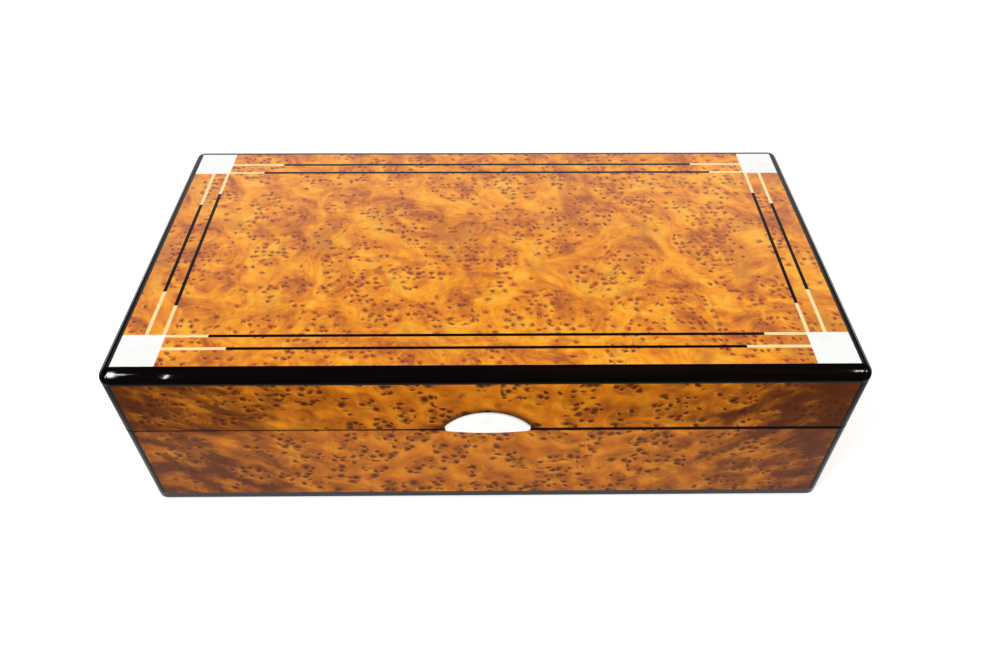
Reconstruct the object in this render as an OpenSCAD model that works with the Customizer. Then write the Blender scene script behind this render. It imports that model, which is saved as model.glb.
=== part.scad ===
// Veneered wooden box with an inlaid hinged lid.
//
// Every length is in millimetres. +Z is up, +X runs to the right along the long side and the
// thumb lift faces -Y. The origin is the middle of the underside.
// A side is named by the angle that turns the front to it: 0 front, 90 right, 180 back, 270 left.

/* [Box] */
// Length of the closed box, left to right
box_w = 300; // [240:1:420]
// Depth of the closed box, front to back
box_d = 156; // [130:1:260]
// Height of the closed box
box_h = 84; // [76:1:130]
// Height of the base, from the floor to its rim
base_h = 50; // [34:1:56]
// Gap between the rims of base and lid
rim_gap = 0.4; // [0.3:0.1:0.8]

/* [Carcass] */
// Thickness of the solid wood in the walls
core_t = 10; // [9:0.5:14]
// Thickness of the burl veneer on the sides
side_veneer_t = 1; // [0.6:0.1:2]
// Thickness of the burl veneer on the lid
top_veneer_t = 1.5; // [1.2:0.1:3]
// Thickness of the bottom panel
bottom_t = 5; // [3:0.5:8]
// Thickness of the panel in the lid
lid_panel_t = 6; // [3:0.5:9]
// How far both panels are let into the walls
panel_let_in = 3; // [2:0.5:4]

/* [Ebony edging] */
// Width of every edging strip, which is also the radius of the rounded corners
edging_w = 5; // [3.5:0.5:5.5]
// Upright face of the top edging below its rounding
top_edging_face = 0.8; // [0.4:0.1:3]
// Height of the edging round the foot
foot_edging_h = 4.6; // [3:0.1:7]
// Rounding of the foot edging at the floor
foot_round = 1.5; // [0.5:0.1:3]

/* [Inlay on the lid] */
// Side of the white squares in the corners
square_w = 17; // [10:0.5:24]
// Width of each string
string_w = 1.5; // [0.8:0.1:2.5]
// Depth of the grooves for the strings
string_depth = 1; // [0.5:0.1:1.1]
// Edge of the lid to the middle of the outer line
outer_line_inset = 14.3; // [11:0.1:15]
// Length of the pale ends of the outer line
outer_pale_l = 25.5; // [10:0.5:30]
// Length of the pale ends of the inner line
inner_pale_l = 17; // [8:0.5:30]

/* [Thumb lift] */
// Width of the lift
lift_w = 35; // [24:0.5:50]
// Height of the lift at its middle
lift_h = 10.7; // [8:0.1:13]
// Height of its short upright ends
lift_end_h = 2; // [1.5:0.1:4]
// How far the lift stands out at the middle of its lower edge
lift_t = 2.2; // [1.5:0.1:4]
// How far it stands out along its curved edge
lift_edge_t = 0.9; // [0.4:0.1:1.3]
// Rounding of its lower corners
lift_corner_r = 1.2; // [0.5:0.1:1.4]

/* [Felt] */
// Thickness of the felt under the box
underfelt_t = 1.2; // [0.8:0.1:3]
// How far that felt stands below the foot edging
underfelt_proud = 0.4; // [0.2:0.1:0.7]
// Thickness of the lining on the floor of the box
lining_t = 1.2; // [0.8:0.1:3]
// Room left round both sheets of felt
felt_room = 0.3; // [0.1:0.1:1]

/* [Hinges] */
// Length of a hinge leaf
hinge_l = 30; // [28:1:40]
// End of the box to the middle of the nearer hinge
hinge_inset = 60; // [30:1:90]
// Width of a leaf across the rim
leaf_w = 8; // [7.5:0.1:8.8]
// Thickness of a leaf
leaf_t = 2.4; // [2.3:0.1:3]
// Radius of the knuckles
knuckle_r = 2; // [1.7:0.1:2.2]
// Length of all three knuckles together
barrel_l = 20; // [18:0.5:24]
// Length of the lid's knuckle, in the middle
mid_knuckle_l = 7.7; // [5:0.1:10]
// Gap between neighbouring knuckles along the pin
knuckle_gap = 0.15; // [0.1:0.05:0.4]
// Room round a knuckle in the leaf that faces it
knuckle_room = 0.3; // [0.25:0.05:0.5]
// Radius of the hinge pin
pin_r = 1; // [0.7:0.1:1.1]
// Room round the pin where the base's knuckles grip it
pin_grip = 0.02; // [0.01:0.01:0.03]
// Room round the pin where the lid's knuckle turns on it
pin_run = 0.05; // [0.03:0.01:0.09]
// Angle at which the stops behind the pin meet
stop_angle = 96; // [94:1:110]
// Thickness left at the tip of each stop
stop_lip = 0.4; // [0.3:0.1:1]

/* [Screws] */
// Length of a hinge screw
screw_l = 8; // [6:0.5:10]
// Radius of its shank
screw_r = 1.1; // [0.8:0.1:1.3]
// Radius of its countersunk head
screw_head_r = 1.9; // [1.7:0.1:2.1]
// Length of its point
screw_tip_l = 2; // [1:0.1:3]
// Distance between the two screws of a leaf
screw_spread = 18; // [16:0.5:20]
// Hinge pin to the line of the screws
screw_back = 4.9; // [4.8:0.1:5.2]
// Width and depth of the driver slot
screw_slot = 0.5; // [0.3:0.1:0.6]
// Room round a screw in its hole
screw_room = 0.02; // [0.01:0.01:0.05]

/* [Hidden] */
$fn = 96;
cut = 1; // overshoot of a cutting shape past the face that it opens

SIDES = [0, 90, 180, 270];
wall_t = core_t + side_veneer_t;
lid_z = base_h + rim_gap; // lower rim of the lid
top_z = box_h - top_veneer_t; // groundwork under the top veneer

foot_z = underfelt_proud; // lowest wood
foot_top = foot_z + foot_edging_h; // top of the foot edging
top_edging_h = edging_w + top_edging_face;
top_edging_z = box_h - top_edging_h;
bottom_top = underfelt_t + bottom_t; // upper face of the bottom panel
panel_inset = wall_t - panel_let_in; // face of the box to the edge of a panel

square_inset = edging_w + square_w; // edge of the lid to the far side of a square
inner_line_inset = square_inset - string_w / 2; // the inner line is flush with the squares

lift_rise = lift_h - lift_end_h;
lift_r = ((lift_w / 2) ^ 2 + lift_rise ^ 2) / (2 * lift_rise); // arc through both ends and the top
lift_near = lift_r - lift_h; // centre of that arc to the lower edge
// The face of the lift is a shallow dome about the arc's centre. The dome's own centre lies
// dome_back behind the box's face, so that lift_t and lift_edge_t both come out true.
dome_back = ((lift_r ^ 2 - lift_near ^ 2) / (lift_t - lift_edge_t) - lift_t - lift_edge_t) / 2;
dome_r = sqrt((dome_back + lift_t) ^ 2 + lift_near ^ 2);

pin_z = base_h + rim_gap / 2;
half_stop = stop_angle / 2;
stop_reach = (rim_gap / 2 + leaf_t - stop_lip) / tan(half_stop);
end_knuckle_l = (barrel_l - mid_knuckle_l) / 2 - knuckle_gap;

BURL = "peru";
CORE = "burlywood";
EBONY = "#1c1513";
BONE = "ivory";
LEMONWOOD = "#f0dca0";
BRASS = "goldenrod";
FELT = "darkgreen";

// ---- Sides and corners ----

// Length and depth of the box as seen by someone who faces that side
function len_of(side) = side % 180 == 0 ? box_w : box_d;
function dep_of(side) = side % 180 == 0 ? box_d : box_w;

// Waste outside a rounded corner of radius r: the corner itself is at the origin
module corner_waste(r) {
    difference() {
        square(r);
        translate([r, r]) circle(r);
    }
}

// Quarter of a disc whose square corner is at the origin
module quarter_disc(r) {
    intersection() {
        circle(r);
        square(r);
    }
}

// Puts children in the corner that follows a side, with their origin at the corner's centre
module in_corner(side) {
    rotate(side) translate([len_of(side) / 2 - edging_w, edging_w - dep_of(side) / 2])
        rotate(-90) children();
}

// Ground plan of one wall of the frame: mitred ends, with the corner strips' rebates cut out
module wall_plan(side) {
    half_l = len_of(side) / 2 - side_veneer_t;
    half_d = dep_of(side) / 2 - side_veneer_t;
    difference() {
        polygon([
            [-half_l, -half_d], [half_l, -half_d],
            [half_l - core_t, core_t - half_d], [core_t - half_l, core_t - half_d]
        ]);
        for (end = [-1, 1])
            translate([end * (half_l + side_veneer_t - edging_w / 2),
                       edging_w / 2 - half_d - side_veneer_t])
                square(edging_w, center = true);
    }
}

// Bar along a whole side, between two insets from the face of the box and two heights
module side_bar(side, near, far, z0, z1) {
    translate([-len_of(side) / 2 - cut, near - dep_of(side) / 2, z0])
        cube([len_of(side) + 2 * cut, far - near, z1 - z0]);
}

// Sheet that covers the whole plan inside an inset from the face of the box
module sheet(inset, z0, z1) {
    translate([inset - box_w / 2, inset - box_d / 2, z0])
        cube([box_w - 2 * inset, box_d - 2 * inset, z1 - z0]);
}

// ---- Carcass ----

module base_wall(side) {
    rotate(side) difference() {
        translate([0, 0, foot_z]) linear_extrude(base_h - foot_z) wall_plan(side);
        side_bar(side, -cut, edging_w, foot_z - cut, foot_top);
        side_bar(side, panel_inset, wall_t + cut, foot_z - cut, bottom_top);
    }
}

module lid_rail(side) {
    rotate(side) difference() {
        translate([0, 0, lid_z]) linear_extrude(top_z - lid_z) wall_plan(side);
        side_bar(side, -cut, edging_w, top_edging_z, top_z + cut);
        side_bar(side, panel_inset, wall_t + cut, top_z - lid_panel_t, top_z + cut);
    }
}

module side_veneer(side, z0, z1) {
    rotate(side) translate([edging_w - len_of(side) / 2, -dep_of(side) / 2, z0])
        cube([len_of(side) - 2 * edging_w, side_veneer_t, z1 - z0]);
}

// ---- Ebony edging ----

// Waste off the top edging's section, above its rounding: outward along X, upright along Y
module top_waste() {
    difference() {
        translate([0, top_edging_face]) square(edging_w + cut);
        translate([0, top_edging_face]) circle(edging_w);
    }
}

// Waste off the foot edging's section, below its rounding
module foot_waste() {
    difference() {
        translate([edging_w - foot_round, -cut]) square(foot_round + cut);
        translate([edging_w - foot_round, foot_round]) circle(foot_round);
    }
}

// Ground plan of an edging strip: mitred ends, and half of each rounded corner
module edging_plan(side) {
    half_l = len_of(side) / 2;
    half_d = dep_of(side) / 2;
    difference() {
        polygon([
            [-half_l, -half_d], [half_l, -half_d],
            [half_l - edging_w, edging_w - half_d], [edging_w - half_l, edging_w - half_d]
        ]);
        for (end = [0, 1])
            mirror([end, 0]) translate([-half_l, -half_d]) corner_waste(edging_w);
    }
}

// Strip along a side, with the waste off its section as its child: the waste is planed off the
// straight run and turned off each corner.
module edging(side, z, h) {
    run = len_of(side) - 2 * edging_w;
    rotate(side) translate([0, 0, z]) difference() {
        linear_extrude(h) edging_plan(side);
        translate([0, edging_w - dep_of(side) / 2, 0]) {
            translate([run / 2, 0, 0]) rotate([90, 0, -90]) linear_extrude(run) children();
            translate([-run / 2, 0, 0]) rotate(180) rotate_extrude(angle = 90) children();
            translate([run / 2, 0, 0]) rotate(270) rotate_extrude(angle = 90) children();
        }
    }
}

module corner_strip(side, z0, z1) {
    in_corner(side) translate([0, 0, z0]) linear_extrude(z1 - z0) quarter_disc(edging_w);
}

// ---- Inlay ----

module corner_square(side, z0) {
    in_corner(side) translate([-square_w, -square_w, z0]) cube([square_w, square_w, box_h - z0]);
}

// Stretch of a line, from x0 to x1 along its side
module string(side, inset, x0, x1) {
    rotate(side) translate([x0, inset - string_w / 2 - dep_of(side) / 2, box_h - string_depth])
        cube([x1 - x0, string_w, string_depth]);
}

// Both lines of a side, each running between two squares
module ebony_lines(side) {
    reach = len_of(side) / 2 - square_inset;
    string(side, outer_line_inset, outer_pale_l - reach, reach - outer_pale_l);
    string(side, inner_line_inset, inner_pale_l - reach, reach - inner_pale_l);
}

module lemonwood_ends(side) {
    reach = len_of(side) / 2 - square_inset;
    for (line = [[outer_line_inset, outer_pale_l], [inner_line_inset, inner_pale_l]]) {
        string(side, line[0], -reach, line[1] - reach);
        string(side, line[0], reach - line[1], reach);
    }
}

module top_veneer() {
    color(BURL) difference() {
        sheet(edging_w, top_z, box_h);
        for (side = SIDES) {
            reach = len_of(side) / 2 - square_inset;
            in_corner(side) translate([-square_w, -square_w, top_z - cut])
                cube([square_w + cut, square_w + cut, top_veneer_t + 2 * cut]);
            for (inset = [outer_line_inset, inner_line_inset])
                rotate(side)
                    translate([-reach, inset - string_w / 2 - dep_of(side) / 2,
                               box_h - string_depth])
                    cube([2 * reach, string_w, string_depth + cut]);
        }
    }
}

// ---- Thumb lift ----

// Half-moon outline, with its lower edge on the X axis
module lift_outline() {
    difference() {
        intersection() {
            translate([-lift_w / 2, 0]) square([lift_w, lift_h]);
            translate([0, lift_h - lift_r]) circle(lift_r);
        }
        for (end = [0, 1])
            mirror([end, 0]) translate([-lift_w / 2, 0]) corner_waste(lift_corner_r);
    }
}

// Prism of that outline through the lid's front, between two depths behind its face
module lift_prism(y0, y1) {
    translate([0, y1 - box_d / 2, lid_z]) rotate([90, 0, 0])
        linear_extrude(y1 - y0) lift_outline();
}

module thumb_lift() {
    color(BONE) intersection() {
        lift_prism(-lift_t - cut, side_veneer_t);
        translate([0, -box_d / 2, lid_z - lift_near]) rotate([90, 0, 0]) rotate_extrude()
            intersection() {
                translate([0, -dome_back]) circle(dome_r, $fn = 256);
                translate([0, -side_veneer_t])
                    square([lift_r + cut, side_veneer_t + lift_t + cut]);
            }
    }
}

// ---- Hinges ----

// Puts children at one hinge's pin: hand is -1 for the left one and 1 for the right one
module at_hinge(hand) {
    translate([hand * (box_w / 2 - hinge_inset), box_d / 2, pin_z]) children();
}

// Cylinder about the pin's axis, between two places along it
module on_pin(r, x0, x1) {
    translate([x0, 0, 0]) rotate([0, 90, 0]) cylinder(h = x1 - x0, r = r);
}

// Leaf as the base has it, below the pin. The lid's is this one turned over, with the middle
// knuckle in place of the end ones.
module leaf(has_middle) {
    barrel = barrel_l / 2;
    mid = mid_knuckle_l / 2;
    face = -rim_gap / 2;
    ends = [[-barrel, end_knuckle_l - barrel], [barrel - end_knuckle_l, barrel]];
    own = has_middle ? [[-mid, mid]] : ends;
    facing = has_middle ? ends : [[-mid, mid]];
    color(BRASS) difference() {
        union() {
            translate([-hinge_l / 2, -leaf_w, face - leaf_t]) cube([hinge_l, leaf_w, leaf_t]);
            rotate([90, 0, 90]) translate([0, 0, -hinge_l / 2]) linear_extrude(hinge_l)
                polygon([
                    [-knuckle_r, face - leaf_t], [stop_reach, face - leaf_t],
                    [stop_reach, -stop_reach * tan(half_stop)],
                    [-face / tan(half_stop), face], [-knuckle_r, face]
                ]);
            for (k = own) on_pin(knuckle_r, k[0], k[1]);
        }
        // room for the knuckles of the facing leaf
        for (k = facing)
            translate([k[0] - knuckle_gap, -knuckle_r - knuckle_room, face - leaf_t - cut])
                cube([k[1] - k[0] + 2 * knuckle_gap, 2 * knuckle_r + knuckle_room + cut + stop_reach,
                      leaf_t + 2 * knuckle_r + 2 * cut]);
        // the stops stand clear of the barrel and leave a way in for the pin
        for (hand = [-1, 1]) {
            translate([hand * (barrel + knuckle_gap / 2) - knuckle_gap / 2, 0,
                       face - leaf_t - cut])
                cube([knuckle_gap, stop_reach + cut, leaf_t + cut]);
            translate([hand * (barrel + hinge_l / 2) / 2, 0, 0]) rotate([0, 90, 0])
                cylinder(h = hinge_l / 2 - barrel + 2 * cut, r = pin_r + knuckle_room,
                         center = true);
            translate([hand * screw_spread / 2, -screw_back, face]) screw_hole();
        }
        on_pin(pin_r + (has_middle ? pin_run : pin_grip), -barrel, barrel);
    }
}

// Countersunk hole through a leaf, opening upwards at the origin
module screw_hole() {
    head_h = screw_head_r - screw_r;
    translate([0, 0, -leaf_t - cut]) cylinder(h = leaf_t + 2 * cut, r = screw_r + screw_room);
    translate([0, 0, -head_h])
        cylinder(h = head_h, r1 = screw_r + screw_room, r2 = screw_head_r + screw_room);
}

// Slotted brass wood screw, hanging from the face of its head at the origin
module screw() {
    head_h = screw_head_r - screw_r;
    color(BRASS) difference() {
        union() {
            translate([0, 0, -head_h]) cylinder(h = head_h, r1 = screw_r, r2 = screw_head_r);
            translate([0, 0, screw_tip_l - screw_l])
                cylinder(h = screw_l - screw_tip_l - head_h, r = screw_r);
            translate([0, 0, -screw_l]) cylinder(h = screw_tip_l, r1 = screw_slot / 2, r2 = screw_r);
        }
        cube([2 * screw_head_r + cut, screw_slot, 2 * screw_slot], center = true);
    }
}

// Children at the four screw holes of the base's leaves
module at_screws() {
    for (hand = [-1, 1], place = [-1, 1])
        at_hinge(hand) translate([place * screw_spread / 2, -screw_back, -rim_gap / 2]) children();
}

// Mirror of the base's hinge parts about the plane between the rims
module over_rim() {
    translate([0, 0, 2 * pin_z]) mirror([0, 0, 1]) children();
}

// Mortises and pilot holes that both rims have for the hinges, as the base has them
module hinge_cuts() {
    for (hand = [-1, 1]) at_hinge(hand)
        translate([-hinge_l / 2, -leaf_w, -rim_gap / 2 - leaf_t])
            cube([hinge_l, leaf_w + cut, leaf_t + rim_gap / 2]);
    at_screws() translate([0, 0, screw_tip_l - screw_l])
        cylinder(h = screw_l - screw_tip_l, r = screw_r + screw_room);
    at_screws() translate([0, 0, -screw_l])
        cylinder(h = screw_tip_l, r1 = screw_slot / 2 + screw_room, r2 = screw_r + screw_room);
}

// ---- Base ----

module base_back_wall() {
    color(CORE) difference() {
        base_wall(180);
        hinge_cuts();
    }
}

module base_back_veneer() {
    color(BURL) difference() {
        side_veneer(180, foot_top, base_h);
        hinge_cuts();
    }
}

module base_veneer(side) { color(BURL) side_veneer(side, foot_top, base_h); }
module base_corner(side) { color(EBONY) corner_strip(side, foot_top, base_h); }
module foot_edging(side) { color(EBONY) edging(side, foot_z, foot_edging_h) foot_waste(); }
module bottom_panel() { color(CORE) sheet(panel_inset, underfelt_t, bottom_top); }
module floor_lining() { color(FELT) sheet(wall_t + felt_room, bottom_top, bottom_top + lining_t); }
module underside_felt() { color(FELT) sheet(panel_inset + felt_room, 0, underfelt_t); }
module hinge_pin(hand) { color(BRASS) at_hinge(hand) on_pin(pin_r, -barrel_l / 2, barrel_l / 2); }
module lower_leaf(hand) { at_hinge(hand) leaf(false); }
module base_hinge_screws() { at_screws() screw(); }

// ---- Lid ----

module lid_front_veneer() {
    color(BURL) difference() {
        side_veneer(0, lid_z, top_edging_z);
        lift_prism(-cut, side_veneer_t + cut);
    }
}

module lid_back_rail() {
    color(CORE) difference() {
        lid_rail(180);
        over_rim() hinge_cuts();
    }
}

module lid_back_veneer() {
    color(BURL) difference() {
        side_veneer(180, lid_z, top_edging_z);
        over_rim() hinge_cuts();
    }
}

module lid_veneer(side) { color(BURL) side_veneer(side, lid_z, top_edging_z); }
module lid_corner(side) { color(EBONY) corner_strip(side, lid_z, top_edging_z); }
module top_edging(side) { color(EBONY) edging(side, top_edging_z, top_edging_h) top_waste(); }
module lid_panel() { color(CORE) sheet(panel_inset, top_z - lid_panel_t, top_z); }
module white_square(side) { color(BONE) corner_square(side, top_z); }
module upper_leaf(hand) { over_rim() at_hinge(hand) leaf(true); }
module lid_hinge_screws() { over_rim() base_hinge_screws(); }

// ---- Nodes ----

color(CORE) base_wall(0);  // base_front_wall
color(CORE) base_wall(90);  // base_right_wall
base_back_wall();
color(CORE) base_wall(270);  // base_left_wall
base_veneer(0);  // base_front_veneer
base_veneer(90);  // base_right_veneer
base_back_veneer();
base_veneer(270);  // base_left_veneer
base_corner(270);  // base_front_left_corner
base_corner(0);  // base_front_right_corner
base_corner(90);  // base_back_right_corner
base_corner(180);  // base_back_left_corner
foot_edging(0);  // foot_front_edging
foot_edging(90);  // foot_right_edging
foot_edging(180);  // foot_back_edging
foot_edging(270);  // foot_left_edging
bottom_panel();
floor_lining();
underside_felt();
lower_leaf(-1);  // left_lower_leaf
lower_leaf(1);  // right_lower_leaf
hinge_pin(-1);  // left_hinge_pin
hinge_pin(1);  // right_hinge_pin
base_hinge_screws();
color(CORE) lid_rail(0);  // lid_front_rail
color(CORE) lid_rail(90);  // lid_right_rail
lid_back_rail();
color(CORE) lid_rail(270);  // lid_left_rail
lid_front_veneer();
lid_veneer(90);  // lid_right_veneer
lid_back_veneer();
lid_veneer(270);  // lid_left_veneer
lid_corner(270);  // lid_front_left_corner
lid_corner(0);  // lid_front_right_corner
lid_corner(90);  // lid_back_right_corner
lid_corner(180);  // lid_back_left_corner
top_edging(0);  // top_front_edging
top_edging(90);  // top_right_edging
top_edging(180);  // top_back_edging
top_edging(270);  // top_left_edging
lid_panel();
top_veneer();
white_square(270);  // front_left_square
white_square(0);  // front_right_square
white_square(90);  // back_right_square
white_square(180);  // back_left_square
color(EBONY) for (s = [0, 180]) ebony_lines(s);  // long_ebony_strings
color(EBONY) for (s = [90, 270]) ebony_lines(s);  // short_ebony_strings
color(LEMONWOOD) for (s = [0, 180]) lemonwood_ends(s);  // long_lemonwood_strings
color(LEMONWOOD) for (s = [90, 270]) lemonwood_ends(s);  // short_lemonwood_strings
thumb_lift();
upper_leaf(-1);  // left_upper_leaf
upper_leaf(1);  // right_upper_leaf
lid_hinge_screws();
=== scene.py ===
import math

import bpy
from mathutils import Matrix, Vector


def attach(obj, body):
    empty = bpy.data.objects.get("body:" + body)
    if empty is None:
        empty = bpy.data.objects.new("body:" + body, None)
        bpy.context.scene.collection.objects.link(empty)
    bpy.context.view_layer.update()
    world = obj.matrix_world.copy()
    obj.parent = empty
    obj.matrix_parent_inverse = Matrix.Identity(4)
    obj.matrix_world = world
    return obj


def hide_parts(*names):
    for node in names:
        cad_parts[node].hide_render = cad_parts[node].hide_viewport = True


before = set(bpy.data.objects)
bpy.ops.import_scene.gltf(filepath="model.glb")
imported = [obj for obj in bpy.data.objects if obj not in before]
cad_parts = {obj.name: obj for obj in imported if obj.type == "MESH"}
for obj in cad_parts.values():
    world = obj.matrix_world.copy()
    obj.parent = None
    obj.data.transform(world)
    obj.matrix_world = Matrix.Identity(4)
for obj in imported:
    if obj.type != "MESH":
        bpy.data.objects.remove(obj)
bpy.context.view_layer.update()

# ---- The studio ----
# The box stands on a white table before a white wall. A tall window and the bright edge of its
# frame are to the left of the camera, a small softbox and two narrow lamps to the right, and the
# pale room fills in from all round.
mm = 0.001
camera_place = Vector((1.5, -279.0, 310.9)) * mm
camera_tilt, camera_turn, camera_roll = (math.radians(angle) for angle in (45.50, 0.91, 0.40))

camera = bpy.data.objects.new("camera", bpy.data.cameras.new("camera"))
bpy.context.scene.collection.objects.link(camera)
camera.data.lens = 28.63
camera.data.sensor_width = 36.0
camera.data.clip_start = 0.01
camera.matrix_world = (
    Matrix.Translation(camera_place)
    @ Matrix.Rotation(-camera_turn, 4, "Z")
    @ Matrix.Rotation(math.pi / 2 - camera_tilt, 4, "X")
    @ Matrix.Rotation(camera_roll, 4, "Z")
)
bpy.context.scene.camera = camera
bpy.context.scene.view_settings.view_transform = "Standard"

box_w, box_top, edging_w = 156.0, 84.0, 5.0
glint_far = 2.5
white = (1.0, 1.0, 1.0, 1.0)


def deselect():
    """Nothing stays selected, so that the next operator acts on its own piece alone."""
    if bpy.context.mode != "OBJECT":
        bpy.ops.object.mode_set(mode="OBJECT")
    bpy.ops.object.select_all(action="DESELECT")


def soft_lamp(name, aim, toward, distance, width, height, power, upright=(0, 0, 1)):
    """A softbox that looks at a place of the box from a direction, its height upright."""
    toward = Vector(toward).normalized()
    across = Vector(upright).cross(toward).normalized()
    data = bpy.data.lights.new(name, "AREA")
    data.shape = "RECTANGLE"
    data.size, data.size_y, data.energy = width, height, power
    lamp = bpy.data.objects.new(name, data)
    bpy.context.scene.collection.objects.link(lamp)
    lamp.rotation_euler = Matrix((across, toward.cross(across), toward)).transposed().to_euler()
    lamp.location = Vector(aim) * mm + toward * distance
    return lamp


def glint(name, place, slope, width, height, power):
    """A lamp that only makes a highlight: the camera sees it mirrored at a place along the
    front edging, where the round face slopes so many degrees from level."""
    turned = math.radians(slope)
    normal = Vector((0, -math.sin(turned), math.cos(turned)))
    spot = Vector((place, edging_w - box_w / 2, box_top - edging_w)) + edging_w * normal
    seen = (spot * mm - camera_place).normalized()
    toward = seen - 2 * seen.dot(normal) * normal
    upright = toward.cross(Vector((1, 0, 0)))
    lamp = soft_lamp(name, spot, toward, glint_far, width, height, power, upright)
    lamp.visible_diffuse = False


middle = (0, 0, 40)
soft_lamp("window", middle, (-0.62, -0.58, 0.53), 2.6, 0.40, 1.5, 35.0)
soft_lamp("right_softbox", middle, (0.80, -0.36, 0.48), 1.4, 0.20, 0.20, 3.6)
for name, place, slope, width, height, power in (
        ("window_glint_29", -144.3, 29, 0.016, 0.60, 0.45),
        ("window_glint_36", -144.5, 36, 0.022, 0.60, 2.4),
        ("window_glint_43", -144.6, 43, 0.022, 0.60, 2.4),
        ("window_glint_50", -144.5, 50, 0.016, 0.60, 0.6),
        ("window_glint_39", -141.6, 39, 0.044, 0.60, 0.9),
        ("frame_glint_43", -122.4, 43, 0.005, 0.52, 0.45),
        ("frame_glint_49", -122.9, 49, 0.005, 0.52, 0.7),
        ("frame_glint_55", -123.5, 55, 0.005, 0.52, 0.4),
        ("right_glint", 142.8, 38, 0.005, 0.60, 0.45),
        ("right_corner_glint", 144.8, 38, 0.008, 0.60, 0.5)):
    glint(name, place, slope, width, height, power)


def feed(tree, socket, value):
    """Links a value that is another node's socket, and otherwise sets it."""
    if isinstance(value, bpy.types.NodeSocket):
        tree.links.new(value, socket)
    else:
        socket.default_value = value


def add(tree, kind, *ordered, settings=None, **named):
    """A shader node with its settings and inputs: ordered by place, the others by name."""
    made = tree.nodes.new("ShaderNode" + kind)
    for key, value in (settings or {}).items():
        setattr(made, key, value)
    for socket, value in zip(made.inputs, ordered):
        feed(tree, socket, value)
    for key, value in named.items():
        feed(tree, made.inputs[key.replace("_", " ")], value)
    return made


def reckon(tree, a, b=0.0, operation="ADD", clamp=False):
    """The sum of two values, or what another operation makes of them."""
    return add(tree, "Math", a, b, settings={"operation": operation, "use_clamp": clamp}).outputs[0]


def product(tree, a, b):
    """One value times another."""
    return reckon(tree, a, b, "MULTIPLY")


def most(tree, a, b):
    """The larger of two values."""
    return reckon(tree, a, b, "MAXIMUM")


def fade(tree, value, start, end, low=0.0, high=1.0, way="SMOOTHSTEP"):
    """Goes from low to high as value goes from start to end: easing, or in the way given."""
    return add(tree, "MapRange", value, start, end, low, high,
               settings={"interpolation_type": way}).outputs[0]


world = bpy.data.worlds.new("pale_room")
bpy.context.scene.world = world
world.use_nodes = True
tree = world.node_tree
tree.nodes.clear()
# the room is brightest overhead
axes = add(tree, "SeparateXYZ", add(tree, "TexCoord").outputs["Generated"])
rise = most(tree, axes.outputs["Z"], 0.0)
sky = product(tree, reckon(tree, product(tree, rise, rise), 0.47), 0.68)
room = add(tree, "Background", white, sky)
# in reflections the white wall stands behind, to about 40 degrees up and not far to the sides,
# and the rest of the room is dim
wall = fade(tree, axes.outputs["Z"], 0.52, 0.72, 1.0, 0.0)
behind = fade(tree, axes.outputs["Y"], -0.2, 0.35)
aside = fade(tree, reckon(tree, axes.outputs["X"], operation="ABSOLUTE"), 0.46, 0.74, 1.0, 0.0)
mirror = product(tree, product(tree, wall, behind), aside)
mirror = add(tree, "Background", white, reckon(tree, product(tree, mirror, 0.94), 0.06))
path = add(tree, "LightPath")
shiny = reckon(tree, path.outputs["Is Glossy Ray"], path.outputs["Is Transmission Ray"], clamp=True)
backdrop = add(tree, "Background", white, 1.0)
shown = add(tree, "MixShader", shiny, room.outputs[0], mirror.outputs[0])
shown = add(tree, "MixShader", path.outputs["Is Camera Ray"], shown.outputs[0], backdrop.outputs[0])
add(tree, "OutputWorld", shown.outputs[0])

deselect()
bpy.ops.mesh.primitive_plane_add(size=12.0, location=(0, 0, 0))
table = bpy.context.object
table.name = "white_table"
table_top = bpy.data.materials.new("white_table")
table_top.use_nodes = True
tree = table_top.node_tree
tree.nodes.clear()
paper = add(tree, "BsdfDiffuse", (0.8, 0.8, 0.8, 1.0))
glow = add(tree, "Emission", white, 0.45)
bright = add(tree, "AddShader", paper.outputs[0], glow.outputs[0])
path = add(tree, "LightPath")
seen = reckon(tree, path.outputs["Is Camera Ray"], path.outputs["Is Glossy Ray"])
seen = reckon(tree, seen, path.outputs["Is Transmission Ray"], clamp=True)
shown = add(tree, "MixShader", seen, paper.outputs[0], bright.outputs[0])
# in reflections the white ends a little way in front of the box and beside it
axes = add(tree, "SeparateXYZ", add(tree, "TexCoord").outputs["Object"])
ended = fade(tree, axes.outputs["Y"], -0.10, -0.17, way="LINEAR")
beside = fade(tree, reckon(tree, axes.outputs["X"], operation="ABSOLUTE"), 0.18, 0.26, way="LINEAR")
near = fade(tree, axes.outputs["Y"], 0.22, 0.06, way="LINEAR")
ended = most(tree, ended, product(tree, beside, near))
ended = product(tree, ended, path.outputs["Is Glossy Ray"])
dim = add(tree, "BsdfDiffuse", (0.04, 0.035, 0.03, 1.0))
shown = add(tree, "MixShader", ended, shown.outputs[0], dim.outputs[0])
add(tree, "OutputMaterial", shown.outputs[0])
table.data.materials.append(table_top)


# ---- Walls, rails and panels ----
# The carcase is of plain cedar, 10 mm thick, mitred at the corners: four walls and a bottom
# below, four rails and a panel above. It shows only inside, rubbed with wax and left matt.
def srgb(red, green, blue):
    """The linear colour, with full alpha, of a colour given as it looks on a screen."""
    def linear(c):
        c = c / 255
        return c / 12.92 if c <= 0.04045 else ((c + 0.055) / 1.055) ** 2.4
    return (linear(red), linear(green), linear(blue), 1.0)


def vector(tree, a, b, operation="ADD"):
    """The sum of two places or colours, or what another operation makes of them."""
    return add(tree, "VectorMath", a, b, settings={"operation": operation}).outputs[0]


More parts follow.
